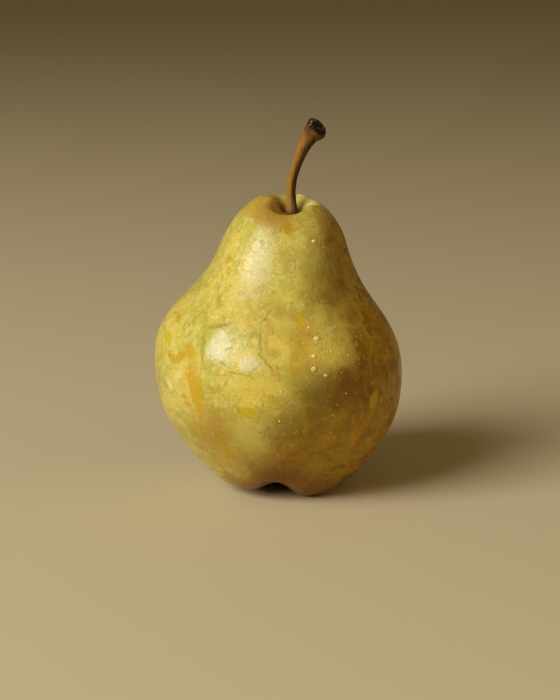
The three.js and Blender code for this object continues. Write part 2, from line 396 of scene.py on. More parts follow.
def uneven(piece, name, size, relief):
    clouds = bpy.data.textures.new(name, "CLOUDS")
    clouds.noise_scale = size * MM
    clouds.noise_depth = 1
    relief_of = piece.modifiers.new(name, "DISPLACE")
    relief_of.texture = clouds
    relief_of.texture_coords = "LOCAL"
    relief_of.strength = relief * MM
    relief_of.mid_level = 0.5


bpy.ops.object.mode_set(mode="OBJECT")
subdivide(skin, 2)
for name, size, relief in UNEVEN:
    uneven(skin, name, size, relief)
apply_modifiers(skin)
edit(skin)
set_down(skin)
bpy.ops.object.mode_set(mode="OBJECT")
bpy.ops.object.shade_smooth()
print("faces of the skin:", len(skin.data.polygons))

# %% [markdown]
# ## A small kit for painting with nodes
#
# Every finish below is built from the same few things, so they get plain names here. `noise`
# is an irregular pattern of a given grain, `window` turns a value into a soft mask, `combine`
# does arithmetic on masks, `tint` lays a colour over another through a share of a mask, and
# `bump` adds relief. All read Object coordinates: the object sits at the origin, so these are
# places on the pear in metres, and a pattern keeps its size and stays where it is from every
# side.

# %% Node helpers
class Finish:
    """A material and the nodes that are laid in it."""

    def __init__(self, name):
        self.material = bpy.data.materials.new(name)
        self.material.use_nodes = True
        self.tree = self.material.node_tree
        self.shader = self.tree.nodes["Principled BSDF"]
        self.place = self.node("ShaderNodeTexCoord").outputs["Object"]

    def node(self, kind, **settings):
        made = self.tree.nodes.new(kind)
        for name, value in settings.items():
            setattr(made, name, value)
        return made

    def feed(self, socket, value):
        if isinstance(value, bpy.types.NodeSocket):
            self.tree.links.new(value, socket)
        else:
            socket.default_value = value

    def stretched(self, stretch):
        """Object places made longer along an axis, so that a pattern on them is drawn out."""
        mapping = self.node("ShaderNodeMapping", vector_type="TEXTURE")
        self.feed(mapping.inputs["Vector"], self.place)
        mapping.inputs["Scale"].default_value = stretch
        return mapping.outputs["Vector"]

    def noise(self, grain, detail=3.0, rough=0.55, warp=0.0, place=None):
        made = self.node("ShaderNodeTexNoise")
        self.feed(made.inputs["Vector"], place or self.place)
        made.inputs["Scale"].default_value = 1 / (grain * MM)
        made.inputs["Detail"].default_value = detail
        made.inputs["Roughness"].default_value = rough
        made.inputs["Distortion"].default_value = warp
        return made.outputs["Fac"]

    def window(self, value, low, high):
        """A mask: 0 where the value is at low, 1 where it is at high, soft between."""
        made = self.node("ShaderNodeMapRange", interpolation_type="SMOOTHSTEP")
        self.feed(made.inputs["Value"], value)
        made.inputs["From Min"].default_value = low
        made.inputs["From Max"].default_value = high
        return made.outputs["Result"]

    def combine(self, how, *values):
        made = self.node("ShaderNodeMath", operation=how)
        for socket, value in zip(made.inputs, values):
            self.feed(socket, value)
        return made.outputs["Value"]

    def tint(self, under, over, mask, share=1.0):
        made = self.node("ShaderNodeMix", data_type="RGBA")
        self.feed(made.inputs["Factor"], mask if share == 1 else self.combine("MULTIPLY", mask, share))
        self.feed(made.inputs[6], under)
        self.feed(made.inputs[7], over)
        return made.outputs[2]

    def axis(self, name):
        split = self.node("ShaderNodeSeparateXYZ")
        self.feed(split.inputs["Vector"], self.place)
        return split.outputs[name]

    def bump(self, height, relief, under=None):
        """Relief of so many millimetres, on top of another."""
        made = self.node("ShaderNodeBump")
        made.inputs["Distance"].default_value = relief * MM
        self.feed(made.inputs["Height"], height)
        if under:
            self.feed(made.inputs["Normal"], under)
        return made.outputs["Normal"]


print("finish kit ready")

# %% [markdown]
# ## The skin's ground colour
#
# The ground is a lemon yellow that turns greener in some drifts and more golden in others. The
# side that hung in the sun, here the right one, is golden brown to umber, and that colour is
# painted shade as well, since the right side is turned away from the light. Close up, both are
# made of small flakes, paler or darker than their neighbours. One noise alone looks like clouds,
# so several of different grain lie over each other. The flakes are the cells of a Voronoi
# texture, whose places are first shaken by noise, so that no cell looks like a polygon. Noise
# also shakes the border of the sunned side, which follows where the shade falls and so reaches
# further to the left low down.

# %% Shaken places and flakes
def shaken(finish, grain, reach):
    """Object places, each moved by noise of a grain, by up to half the reach."""
    swirl = finish.node("ShaderNodeTexNoise")
    finish.feed(swirl.inputs["Vector"], finish.place)
    swirl.inputs["Scale"].default_value = 1 / (grain * MM)
    swirl.inputs["Detail"].default_value = 4
    moved = finish.node("ShaderNodeVectorMath", operation="MULTIPLY_ADD")
    finish.feed(moved.inputs[0], swirl.outputs["Color"])
    moved.inputs[1].default_value = [reach * MM] * 3
    finish.feed(moved.inputs[2], finish.place)
    centred = finish.node("ShaderNodeVectorMath", operation="SUBTRACT")
    finish.feed(centred.inputs[0], moved.outputs["Vector"])
    centred.inputs[1].default_value = [reach / 2 * MM] * 3
    return centred.outputs["Vector"]


def voronoi(finish, spacing, feature="F1", on=None):
    """Cells round scattered points that are so many millimetres apart."""
    made = finish.node("ShaderNodeTexVoronoi", feature=feature)
    finish.feed(made.inputs["Vector"], on or finish.place)
    made.inputs["Scale"].default_value = 1 / (spacing * MM)
    return made


def flakes(finish, size, low, high, on):
    """Some of the cells of a size: each has a random value, and shows past low."""
    values = finish.node("ShaderNodeSeparateColor")
    finish.feed(values.inputs["Color"], voronoi(finish, size, on=on).outputs["Color"])
    return finish.window(values.outputs["Red"], low, high)


# %% Ground, flakes and the sunned side, with its painted shade
peel = Finish("pear skin")
YELLOW = colour(214, 197, 94)
GREEN = colour(190, 183, 78)
GOLD = colour(206, 172, 58)
PALE = colour(232, 220, 142)
OLIVE = colour(148, 138, 40)
# the sunned side's colours: sun blush and painted shade in one
SUN_BLUSH_AND_SHADE = colour(182, 136, 6)
UMBER = colour(136, 86, 4)
OCHRE = colour(210, 168, 20)

broad = peel.noise(15, detail=4, warp=0.6)
middling = peel.noise(5.5, detail=4, rough=0.6, warp=0.4)
fine = peel.noise(1.2, detail=4, rough=0.7, warp=0.8)
frayed = shaken(peel, 1.1, 1.8)
pale_flakes = flakes(peel, 1.4, 0.66, 0.95, frayed)
dark_flakes = flakes(peel, 2.2, 0.64, 0.95, frayed)
specks = peel.window(fine, 0.54, 0.70)

ground = peel.tint(YELLOW, GREEN, peel.window(broad, 0.46, 0.64))
ground = peel.tint(ground, GOLD, peel.window(middling, 0.52, 0.7), 0.8)
blush_and_shade_colour = peel.tint(SUN_BLUSH_AND_SHADE, UMBER, peel.window(middling, 0.40, 0.66))
for mask, tone, share, blush_and_shade_tone, blush_and_shade_share in (
    (dark_flakes, OLIVE, 0.32, UMBER, 0.30),
    (pale_flakes, PALE, 0.45, OCHRE, 0.55),
    (specks, OLIVE, 0.34, UMBER, 0.35),
):
    ground = peel.tint(ground, tone, mask, share)
    blush_and_shade_colour = peel.tint(blush_and_shade_colour, blush_and_shade_tone, mask, blush_and_shade_share)

across, upward = peel.axis("X"), peel.axis("Z")
# painted shade: the sunned side's border follows where the shade falls, further left low down
side = across
low_down = peel.window(upward, 46 * MM, 12 * MM)
for pattern, reach in ((broad, 30), (middling, 16), (low_down, 21)):
    side = peel.combine("MULTIPLY_ADD", pattern, reach * MM, side)
sun_blush_and_shade = peel.window(side, 26 * MM, 50 * MM)
ground = peel.tint(ground, blush_and_shade_colour, sun_blush_and_shade, 0.92)
print("nodes in the ground colour:", len(peel.tree.nodes))

# %% [markdown]
# ## Marks at their own places
#
# Some marks belong to this pear alone: an orange streak with a hook on the left cheek, a golden
# disc in the middle, bright flecks, scuffs, and tan skin round the stem. Others are painted light
# and shade: olive and brown painted shade on the right, down the neck, low down and at the brown
# foot, a pale painted highlight on the belly and up the neck, and painted light on the wall behind
# the stem. Each is an ellipsoid set on the skin by a Mapping node, which fades out over a rim as
# soft as the mark's last number says. Its place is first shaken by noise, so that no rim is an oval.

# %% Marks by place, size, turn and colour
MARKS = [
    # place and half sizes (mm), tilt in the picture (degrees), colour, strength, softness
    ((-9.5, -32.0, 20.5), (21.0, 14.0, 13.5), 0, colour(146, 100, 16), 0.46, 1.0),  # painted shade low down, warm brown
    ((5.0, -18.0, 78.0), (8.0, 8.0, 10.0), 0, colour(184, 186, 104), 0.36, 1.0),  # greener neck
    ((-5.0, -36.6, 38.4), (8.4, 6.0, 4.4), -10, colour(228, 208, 84), 0.50, 0.7),  # bright yellow
    ((1.7, -33.9, 54.0), (6.6, 8.0, 10.4), 0, colour(206, 184, 78), 0.52, 0.32),  # golden disc
    ((8.2, -33.4, 52.0), (4.2, 6.0, 8.0), -6, colour(190, 140, 18), 0.60, 0.8),  # its golden band
    ((2.6, -28.4, 61.4), (5.0, 5.0, 1.8), 8, colour(172, 140, 46), 0.45, 0.7),  # its upper rim
    ((-3.2, -32.4, 56.4), (1.5, 4.0, 4.6), 8, colour(192, 156, 56), 0.45, 0.7),
    ((4.6, -36.2, 45.6), (2.2, 4.0, 1.6), 20, colour(196, 150, 24), 0.50, 0.6),
    ((-1.6, -34.0, 53.6), (2.4, 4.0, 1.5), 24, colour(236, 216, 104), 0.55, 0.5),  # pale strokes in it
    ((0.6, -35.6, 48.6), (2.8, 4.0, 1.3), -20, colour(232, 212, 98), 0.50, 0.5),
    ((1.2, -35.2, 51.2), (2.4, 4.0, 1.4), 12, colour(240, 212, 106), 0.55, 0.6),
    ((0.4, -37.6, 37.0), (3.4, 4.0, 2.4), 0, colour(166, 130, 16), 0.50, 0.8),  # ochre under it
    ((19.5, -13.0, 75.0), (1.8, 6.0, 6.0), -14, colour(186, 128, 12), 0.50, 0.7),  # ochre down the neck
    ((-25.5, -28.6, 38.6), (2.2, 5.0, 9.6), -13, colour(196, 156, 10), 0.85, 0.6),  # streak
    ((-32.9, -20.0, 45.6), (2.2, 4.0, 1.1), 45, colour(190, 146, 12), 0.75, 0.6),  # its hook
    ((-30.0, -22.8, 46.7), (2.8, 4.0, 1.2), -48, colour(192, 150, 14), 0.75, 0.6),
    ((-27.0, -25.4, 49.2), (3.0, 4.0, 1.5), 34, colour(198, 156, 20), 0.75, 0.6),
    ((-34.5, -14.2, 50.9), (1.4, 4.0, 1.7), 0, colour(196, 176, 26), 0.85, 0.4),
    ((-9.3, -36.9, 33.1), (3.4, 3.0, 1.7), 2, colour(196, 172, 4), 0.95, 0.2),  # bright fleck
    ((-33.5, -19.4, 37.0), (1.6, 3.0, 1.2), 35, colour(240, 230, 160), 0.65, 0.5),  # pale dabs
    ((-30.4, -23.7, 41.3), (1.7, 3.0, 1.5), 10, colour(226, 214, 134), 0.55, 0.4),
    ((-19.5, -28.0, 22.0), (10.0, 9.0, 8.5), 0, colour(184, 150, 58), 0.60, 1.0),  # tan, low left
    ((-19.1, -31.5, 25.6), (5.0, 6.0, 5.2), 0, colour(168, 128, 46), 0.60, 0.9),
    ((-16.3, -29.0, 19.5), (1.3, 5.0, 4.2), -32, colour(188, 152, 18), 0.70, 0.5),
    ((-26.0, -22.5, 22.5), (1.7, 4.0, 1.7), 0, colour(160, 164, 46), 0.60, 0.5),
    ((-8.2, -34.6, 23.6), (6.4, 6.0, 6.6), 0, colour(206, 200, 104), 0.46, 0.8),  # pale, low middle
    ((3.5, -36.5, 27.5), (6.4, 6.0, 6.4), -20, colour(120, 96, 10), 0.74, 0.9),  # painted shade, olive, with the next line
    ((12.0, -36.0, 38.0), (7.4, 7.0, 6.6), 25, colour(104, 84, 12), 0.76, 0.9),
    ((22.8, -30.8, 39.8), (7.6, 8.0, 8.0), -15, colour(108, 56, 2), 0.68, 1.0),  # painted core shadow, brown
    ((17.0, -14.0, 74.0), (2.8, 8.0, 12.0), -8, colour(150, 116, 22), 0.26, 0.9),  # painted shade down the right of the neck
    ((14.5, -32.2, 51.0), (6.4, 8.0, 4.2), 10, colour(224, 206, 94), 0.80, 0.8),  # paler drift
    # painted shade on the right of the neck
    ((15.0, -20.0, 67.0), (6.6, 8.0, 8.0), -20, colour(128, 100, 18), 0.66, 1.0),
    ((12.3, -9.0, 87.0), (4.2, 6.0, 5.0), 0, colour(226, 208, 100), 0.55, 0.9),
    ((10.8, -28.6, 14.2), (3.4, 5.0, 4.0), 0, colour(182, 154, 52), 0.60, 0.6),
    ((18.0, -30.0, 20.0), (11.0, 10.0, 8.0), 0, colour(172, 138, 12), 0.46, 1.0),  # olive gold
    ((23.3, -28.5, 23.0), (1.3, 5.0, 4.8), 22, colour(206, 152, 14), 0.60, 0.6),  # ochre strokes
    ((26.4, -26.4, 27.0), (0.9, 5.0, 3.6), 30, colour(206, 156, 20), 0.50, 0.6),
    ((28.6, -26.0, 34.0), (1.2, 4.0, 2.8), 12, colour(206, 168, 6), 0.95, 0.4),
    ((6.5, -29.5, 59.4), (0.9, 3.0, 1.9), -25, colour(214, 180, 12), 0.85, 0.5),
    ((2.6, -15.5, 84.8), (1.9, 4.0, 1.9), 0, colour(192, 164, 4), 1.0, 0.6),  # under the dip
    ((-6.5, -4.0, 91.5), (8.0, 8.0, 4.2), 0, colour(200, 160, 66), 0.70, 0.8),  # tan left shoulder
    ((-0.5, -10.0, 88.0), (6.6, 7.0, 4.6), 0, colour(158, 112, 38), 0.84, 0.9),  # before the stem
    ((7.8, 2.4, 90.4), (4.0, 5.0, 3.0), 0, colour(246, 228, 140), 0.90, 0.7),  # painted light on the wall behind the stem, where its shadow falls
    ((0.0, -26.0, 3.0), (26.0, 14.0, 6.5), 0, colour(126, 74, 3), 0.85, 0.6),  # brown foot, darkened as painted shade, with the next two lines
    ((0.0, -29.5, 14.0), (9.0, 8.0, 4.8), 0, colour(128, 84, 8), 0.66, 1.0),
    ((-1.5, -27.5, 10.2), (6.4, 8.0, 3.4), 0, colour(116, 56, 2), 0.85, 0.8),
    ((-22.9, -27.8, 50.4), (0.7, 4.0, 5.0), 3, colour(150, 142, 44), 0.70, 0.5),  # scuffs
    ((-18.4, -26.6, 57.0), (4.6, 4.0, 0.6), -14, colour(150, 142, 44), 0.65, 0.6),
    ((-7.3, -36.9, 46.2), (2.8, 3.0, 0.34), -44, colour(140, 128, 46), 0.75, 0.8),
    ((-17.6, -33.0, 47.4), (3.0, 3.0, 0.34), 28, colour(140, 128, 46), 0.75, 0.8),
    ((-12.4, -35.4, 44.6), (3.2, 3.0, 0.30), 8, colour(150, 136, 50), 0.60, 0.8),
    ((-3.6, -30.5, 60.8), (0.36, 3.0, 3.0), 32, colour(138, 120, 38), 0.60, 0.8),  # rim of the disc
    ((-5.7, -33.5, 54.6), (0.36, 3.0, 4.8), 0, colour(138, 120, 38), 0.60, 0.8),
    ((-3.9, -36.0, 48.2), (0.36, 3.0, 3.2), -42, colour(138, 120, 38), 0.60, 0.8),
    ((-14.1, -32.7, 51.7), (0.5, 2.0, 0.45), 0, colour(146, 142, 76), 0.70, 0.6),  # dark speck
    ((-18.2, -31.0, 52.0), (3.6, 5.0, 5.0), 6, colour(226, 224, 190), 0.50, 0.3),  # painted highlight, pale, on the belly; with the next two lines, the last up the neck
    ((-8.8, -36.0, 47.8), (2.9, 4.0, 2.4), 0, colour(232, 230, 198), 0.48, 0.5),
    ((-6.0, -20.0, 76.0), (3.6, 7.0, 11.0), 10, colour(222, 220, 180), 0.45, 0.8),
]


def blotch(finish, place, half, tilt, on, soft=0.55):
    """A mark that is 1 inside, 0 outside, and halfway at its half sizes."""
    mapping = finish.node("ShaderNodeMapping", vector_type="TEXTURE")
    finish.feed(mapping.inputs["Vector"], on)
    mapping.inputs["Location"].default_value = Vector(place) * MM
    mapping.inputs["Rotation"].default_value = (0, math.radians(tilt), 0)
    mapping.inputs["Scale"].default_value = Vector(half) * MM / (1 - soft / 2)
    ball = finish.node("ShaderNodeTexGradient", gradient_type="SPHERICAL")
    finish.feed(ball.inputs["Vector"], mapping.outputs["Vector"])
    return finish.window(ball.outputs["Fac"], 0.0, soft)


THIN = 1.2  # mm: a mark that is no thicker is shaken less, or it would break up
loose = shaken(peel, 3.0, 3.6)
marked = ground
for place, half, tilt, tone, strength, soft in MARKS:
    mask = blotch(peel, place, half, tilt, frayed if min(half) <= THIN else loose, soft)
    marked = peel.tint(marked, tone, mask, strength)
print("marks:", len(MARKS))

# %% [markdown]
# ## Lenticels and russet
#
# Lenticels are the dots through which a fruit breathes. A Voronoi texture scatters points
# through space, and the skin shows a dot wherever it passes close to one, so the dots come in
# all sizes. Round the stem and the calyx the skin is russeted: brown, dry, and netted with fine
# cracks, for which the edges between Voronoi cells serve. In the stem's hollow the russet is
# painted lighter, as painted light that lifts the shade of the pit.

# %% Dots, net and russet
def dots(finish, spacing, radius):
    """Small dots, 1 in their middle: their radius and the spacing of their cells, in mm."""
    edge = radius / spacing
    return finish.window(voronoi(finish, spacing).outputs["Distance"], edge, 0.4 * edge)


crowded = peel.window(middling, 0.38, 0.56)
brown_dots = peel.combine("MULTIPLY", dots(peel, 2.3, 0.30), crowded)
pale_dots = dots(peel, 2.6, 0.42)
dotted = peel.tint(marked, colour(236, 220, 146), pale_dots, 0.40)
dotted = peel.tint(dotted, colour(104, 82, 22), brown_dots, 0.60)

hollow = blotch(peel, (2.0, -1.8, 88.0), (3.7, 3.8, 3.8), 0, frayed)
basin = blotch(peel, (1.0, 0.0, 5.0), (11.0, 11.0, 5.5), 0, loose)
russet = peel.combine("MAXIMUM", hollow, basin)
net = voronoi(peel, 1.1, "DISTANCE_TO_EDGE")
cracks = peel.window(net.outputs["Distance"], 0.10, 0.02)
russeted = peel.tint(dotted, colour(170, 90, 26), russet, 0.8)
# painted light: the stem's hollow is lightened, which lifts the shade in its pit
russeted = peel.tint(russeted, colour(208, 140, 56), hollow, 0.5)
cracked = peel.combine("MULTIPLY", russet, cracks)
russeted = peel.tint(russeted, colour(66, 38, 12), cracked, 0.6)
print("nodes with dots and russet:", len(peel.tree.nodes))

# %% [markdown]
# ## Grain, wax and flesh
#
# The last colour steps are a fine grain that darkens the skin by a few per cent, and fine lines
# where the wax has crazed. The wax on a ripe pear is satin: it throws back the window as a soft
# square, duller where the skin is russeted or rubbed, and it thins out low down and on the
# sunned side. It is the shader's coat, with a bump of its own. Light also enters the skin and
# comes out a little further on, warmer, which softens the border of the shade: that is the
# shader's subsurface. The bump has a fine pore grain, with the flakes and dots slightly proud.

# %% Finish the skin
peel_shader = peel.shader
patchy = peel.window(fine, 0.25, 0.62)
shaded = peel.tint(russeted, colour(150, 128, 52), patchy, 0.18)
crazing = voronoi(peel, 4.2, "DISTANCE_TO_EDGE", frayed)
lines = peel.window(crazing.outputs["Distance"], 0.045, 0.012)
lines = peel.combine("MULTIPLY", lines, peel.window(middling, 0.45, 0.60))
shaded = peel.tint(shaded, colour(128, 108, 30), lines, 0.26)
peel.feed(peel_shader.inputs["Base Color"], shaded)

rubbed = peel.combine("MULTIPLY_ADD", middling, 0.14, 0.20)
dry = peel.combine("MULTIPLY_ADD", russet, 0.3, rubbed)
peel.feed(peel_shader.inputs["Roughness"], dry)
peel_shader.inputs["Specular IOR Level"].default_value = 0.18
waxed = peel.combine("MULTIPLY", peel.window(upward, 6 * MM, 34 * MM), 0.22)
waxed = peel.combine("MULTIPLY", waxed, peel.window(across, 36 * MM, 20 * MM))
peel.feed(peel_shader.inputs["Coat Weight"], waxed)
peel_shader.inputs["Coat Roughness"].default_value = 0.18
waxen = peel.bump(lines, -0.05, peel.bump(fine, 0.07, peel.bump(middling, 0.28)))
peel.feed(peel_shader.inputs["Coat Normal"], waxen)
peel_shader.inputs["Subsurface Weight"].default_value = 0.14
peel_shader.inputs["Subsurface Radius"].default_value = (1.0, 0.55, 0.12)
peel_shader.inputs["Subsurface Scale"].default_value = 2.0 * MM

relief = peel.bump(fine, 0.12)
relief = peel.bump(pale_flakes, 0.05, relief)
relief = peel.bump(peel.noise(0.45, detail=2), 0.03, relief)
relief = peel.bump(peel.combine("MAXIMUM", pale_dots, brown_dots), 0.08, relief)
relief = peel.bump(cracked, -0.12, relief)
relief = peel.bump(lines, -0.05, relief)
peel.feed(peel_shader.inputs["Normal"], relief)
skin.data.materials.append(peel.material)
print("nodes in the skin:", len(peel.tree.nodes))

# %% [markdown]
# ## Raised lenticels
#
# Some lenticels on the sunned middle are swollen and pale, large enough to catch the light on
# one side. They are modelled: one small dome with a sunk middle, copied to each place and set
# along the skin's own normal, each a little more or less oval. Places come from a short list
# for the ones that stand out, and from a seeded draw for the rest.

# %% Model one lenticel
LENTICEL_RADIUS = 0.62
SUNK_IN = 0.12  # so that no gap opens under it

deselect_all()
bpy.ops.mesh.primitive_circle_add(
    vertices=10, radius=LENTICEL_RADIUS * MM, fill_type="NGON", location=(0, 0, -SUNK_IN * MM)
)
lenticel = name_it("lenticel")
edit(lenticel)
bpy.ops.mesh.select_all(action="SELECT")
for rise, share in ((0.24, 0.86), (0.14, 0.62), (0.0, 0.55), (-0.07, 0.4)):
    bpy.ops.mesh.extrude_region_move(TRANSFORM_OT_translate={"value": (0, 0, rise * MM)})
    bpy.ops.transform.resize(value=(share, share, 1), center_override=(0, 0, 0))
bpy.ops.mesh.select_all(action="SELECT")
bpy.ops.transform.vertex_random(offset=0.06 * MM, seed=4)
bpy.ops.mesh.normals_make_consistent(inside=False)
deselect_all()
print("faces of a lenticel:", len(lenticel.data.polygons))

# %% Copy it over the skin
STANDING_OUT = [
    # place on the skin (mm) and size
    ((11.3, -31.4, 54.4), 1.6),
    ((10.4, -34.4, 49.6), 1.15),
    ((10.4, -35.8, 46.0), 1.5),
    ((13.9, -35.0, 43.9), 1.2),
    ((9.0, -30.5, 57.8), 0.75),
    ((10.8, -35.2, 48.0), 0.6),
    ((15.6, -32.0, 50.5), 0.65),
    ((18.2, -31.0, 50.0), 0.6),
    ((21.0, -30.0, 49.0), 0.55),
    ((0.6, -37.6, 39.5), 0.75),
    ((-1.4, -30.0, 60.0), 0.7),
    ((10.6, -16.1, 81.1), 1.3),
    ((13.6, -14.8, 79.0), 0.5),
    ((4.6, -30.6, 58.0), 0.6),
    ((7.2, -33.0, 53.0), 0.5),
]
SCATTERED = 90
SCATTERED_HEIGHTS = (14, 86)
SCATTERED_SIZES = (0.22, 0.5)
OUTSIDE = 45  # mm from the middle, from where the nearest skin is looked for
FLATNESS = 0.75  # height as a share of the size
LENTICEL_SEED = 11
draw = random.Random(LENTICEL_SEED)


def on_skin(place, size):
    """Place, turn and scale of a lenticel on the skin nearest to a place: oval and low."""
    _, spot, normal, _ = skin.closest_point_on_mesh(Vector(place) * MM)
    turn = normal.to_track_quat("Z", "Y").to_euler()
    wide, narrow = draw.uniform(0.8, 1.25), draw.uniform(0.7, 1.0)
    return spot, turn, (size * wide, size * narrow, size * FLATNESS)


def copies_of(pattern, settings, name):
    """Copies with their own meshes, each placed, turned and scaled, joined into one piece."""
    deselect_all()
    made = []
    for place, turn, scale in settings:
        copy = pattern.copy()
        copy.data = pattern.data.copy()
        bpy.context.collection.objects.link(copy)
        copy.location, copy.rotation_euler, copy.scale = place, turn, scale
        made.append(copy)
    bpy.data.objects.remove(pattern)
    for copy in made:
        copy.select_set(True)
    bpy.context.view_layer.objects.active = made[0]
    bpy.ops.object.transform_apply(location=True, rotation=True, scale=True)
    bpy.ops.object.join()
    return name_it(name)


settings = [on_skin(place, size) for place, size in STANDING_OUT]
for _ in range(SCATTERED):
    turn, up = draw.uniform(0, 2 * math.pi), draw.uniform(*SCATTERED_HEIGHTS)
    around = (OUTSIDE * math.sin(turn), -OUTSIDE * math.cos(turn), up)
    settings.append(on_skin(around, draw.uniform(*SCATTERED_SIZES)))
lenticels = copies_of(lenticel, settings, "lenticels")
bpy.ops.object.shade_smooth()
print("lenticels:", len(settings))

# %% A pale corky finish for them
cork = Finish("lenticel cork")
spotted = cork.window(cork.noise(0.6), 0.45, 0.65)
cork_colour = cork.tint(colour(238, 220, 142), colour(196, 162, 76), spotted)
cork.feed(cork.shader.inputs["Base Color"], cork_colour)
cork.shader.inputs["Roughness"].default_value = 0.4
cork.feed(cork.shader.inputs["Normal"], cork.bump(cork.noise(0.25), 0.03))
lenticels.data.materials.append(cork.material)
print("nodes in the cork:", len(cork.tree.nodes))

# %% [markdown]
# ## The stem, first straight
#
# The stem grows out of its hollow, thins to about 3 mm and flares again where it broke from the
# twig. It is easiest to model upright: rings are extruded along its length, and its bark ridges
# are whole lines of points that are drawn in or out. Only then is it bent, ring by ring.

# %% The stem's route and its straight cage
STEM_ROUTE = [
    # place of the middle line and radius, in mm, from the root up
    (3.8, 0.0, 84.2, 1.8),  # root, in the socket
    (3.8, 0.0, 86.2, 1.95),
    (3.7, 0.0, 88.2, 2.05),  # foot, where it comes out of the flesh
    (3.65, 0.0, 90.8, 1.66),
    (3.7, 0.0, 94.4, 1.42),
    (4.25, -0.1, 98.4, 1.38),
    (5.6, -0.4, 102.8, 1.42),
    (7.2, -1.0, 107.2, 1.85),
    (9.2, -1.9, 110.9, 2.55),
    (10.6, -2.6, 112.8, 3.25),  # neck of the knob
    (11.6, -3.3, 114.0, 3.7),  # rim of the knob
]
STEM_SIDES = 32
route = stations(STEM_ROUTE, [4] * (len(STEM_ROUTE) - 1))
middles = [Vector(point[:3]) for point in route]
lengths = [0.0]
for low, high in zip(middles, middles[1:]):
    lengths.append(lengths[-1] + (high - low).length)

deselect_all()
bpy.ops.mesh.primitive_circle_add(vertices=STEM_SIDES, radius=route[0][3] * MM)
stem = name_it("stem_bark")
raise_rings(stem, [(point[3], length) for point, length in zip(route, lengths)])
print("stem, mm:", round(lengths[-1], 1), "long,", len(route), "rings")

# %% Bark ridges, drawn in or out along stretches of single lines
RIDGES = 70
STEM_SEED = 5
step = 2 * math.pi / STEM_SIDES
draw = random.Random(STEM_SEED)
for _ in range(RIDGES):
    line = draw.randrange(STEM_SIDES)
    low = draw.uniform(-2, lengths[-1] - 6)
    high = low + draw.uniform(4, 14)
    pick(stem, lambda p, _: round(math.atan2(p.y, p.x) / step) % STEM_SIDES == line and low < p.z < high)
    bpy.ops.transform.shrink_fatten(value=draw.uniform(-0.13, 0.09) * MM)
print("ridges:", RIDGES)

# %% Lumps of the knob and its broken end
LUMPS = 9
KNOB_RADIUS = 3.3
LUMP_REACH = 1.6
BROKEN_END = [(0.93, 0.40), (0.88, 0.30), (0.82, 0.05), (0.74, -0.25), (0.5, -0.1)]  # share, rise

for _ in range(LUMPS):
    turn = draw.uniform(0, 2 * math.pi)
    outward = Vector((math.cos(turn), math.sin(turn), 0))
    near = outward * KNOB_RADIUS + Vector((0, 0, lengths[-1] - draw.uniform(0, 1.6)))
    pick(stem, lambda p, _: (p - near).length < 0.7)
    soft_push(LUMP_REACH, outward * draw.uniform(-0.45, 0.4))
last_ring = (len(route) - 1) * STEM_SIDES
pick(stem, lambda _, point: point >= last_ring)
for share, rise in BROKEN_END:
    bpy.ops.mesh.extrude_region_move(TRANSFORM_OT_translate={"value": (0, 0, rise * MM)})
    bpy.ops.transform.resize(value=(share, share, 1), center_override=(0, 0, 0))
bpy.ops.mesh.edge_face_add()
pick(stem, lambda _, point: point >= last_ring)
bpy.ops.transform.vertex_random(offset=0.28 * MM, normal=0.3, seed=8)
pick(stem, lambda _, point: point < STEM_SIDES)
bpy.ops.mesh.edge_face_add()
bpy.ops.mesh.select_all(action="SELECT")
bpy.ops.mesh.normals_make_consistent(inside=False)
print("points of the knob's end:", len(bmesh.from_edit_mesh(stem.data).verts) - last_ring)

# %% [markdown]
# ## Bend the stem
#
# Each ring is lifted to its place on the route and tilted to face along it. The tilt is split
# into a turn about Y, to the right, and a smaller one about X, towards the front. Without a
# window Blender turns the other way round, so the signs are the reverse of what one would type
# by hand, and the turning point is always given.

# %% Ring by ring
for number, middle in enumerate(middles):
    if number + 1 < len(middles):
        pick(stem, lambda _, point: point // STEM_SIDES == number)
    else:
        pick(stem, lambda _, point: point >= last_ring)
    along = middles[min(number + 1, len(middles) - 1)] - middles[max(number - 1, 0)]
    bpy.ops.transform.translate(value=(middle - Vector((0, 0, lengths[number]))) * MM)
    for axis, angle in (("Y", math.atan2(along.x, along.z)), ("X", -math.atan2(along.y, along.z))):
        bpy.ops.transform.rotate(value=-angle, orient_axis=axis, center_override=middle * MM)
bpy.ops.object.mode_set(mode="OBJECT")
subdivide(stem, 2)
uneven(stem, "bark lumps", 1.4, 0.16)
uneven(stem, "bark grain", 0.35, 0.05)
apply_modifiers(stem)
bpy.ops.object.shade_smooth()
print("faces of the stem:", len(stem.data.polygons))

# %% [markdown]
# ## Bark
#
# The stem is a warm brown, drawn out in streaks along its length and flecked with pale cork.
# Light and shade are painted on it too: it is golden along its lit left side and dusky on its
# shaded right. Its foot is tan. The knob is buff at its rim and nearly black on the broken face,
# where the wood has dried and split into pale chips. The streaks come from a noise whose places
# are stretched along Z.

# %% Paint the stem
bark = Finish("stem bark")
drawn_out = bark.stretched((1, 1, 9))
streaks = bark.noise(0.9, detail=4, rough=0.6, place=drawn_out)
flecks = bark.window(bark.noise(0.8, detail=3, warp=0.5), 0.56, 0.66)
bark_colour = bark.tint(colour(122, 78, 18), colour(70, 34, 8), bark.window(streaks, 0.42, 0.64))
bark_colour = bark.tint(bark_colour, colour(148, 104, 40), flecks, 0.5)
higher = bark.window(bark.axis("Z"), 100 * MM, 112 * MM)
bark_colour = bark.tint(bark_colour, colour(74, 50, 26), higher, 0.35)
